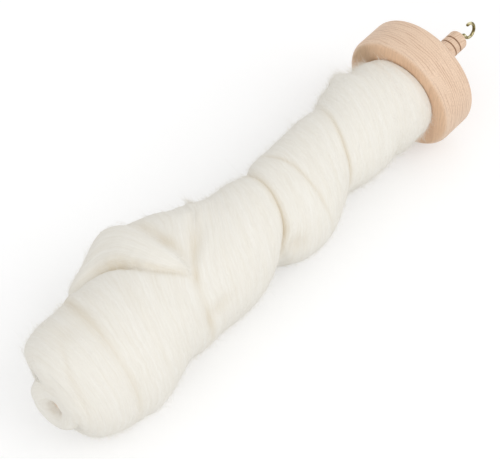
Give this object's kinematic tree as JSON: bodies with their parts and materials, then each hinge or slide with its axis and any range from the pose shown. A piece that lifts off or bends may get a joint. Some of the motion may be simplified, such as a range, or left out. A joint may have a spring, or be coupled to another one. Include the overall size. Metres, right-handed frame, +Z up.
{
  "type": "drop spindle",
  "caption": "Top-whorl drop spindle lying on its side: a turned beech disc on a tapered, grooved dowel, an open screw hook, and a combed wool roving wound down the shaft.",
  "frame": {"origin": "on the shaft's axis, in the disc's face on the hook side", "axes": "+X along the shaft towards the hook, +Z up with the spindle lying on its side on a table at Z = -30 mm"},
  "size_m": [0.2861, 0.0719, 0.0647],
  "materials": {
    "beech_dowel": "satin",
    "beech_disc": "satin",
    "brass": "satin",
    "wool": "matte"
  },
  "bodies": {
    "spindle": {"shaft": "beech_dowel", "whorl": "beech_disc"},
    "hook": {"hook": "brass"},
    "wool": {"roving_start": "wool", "roving_turn_1": "wool", "roving_turn_2": "wool", "roving_turn_3": "wool", "roving_turn_4": "wool", "roving_turn_5": "wool", "roving_end": "wool"}
  },
  "joints": [
    {"name": "hook_screw", "type": "hinge", "parent": "spindle", "child": "hook", "pos_m": [0.02, 0, 0], "axis": [1, 0, 0], "range_deg": [-180, 180]},
    {"name": "wool_slide", "type": "slide", "parent": "spindle", "child": "wool", "axis": [-1, 0, 0], "range_m": [0, 0.23]}
  ]
}
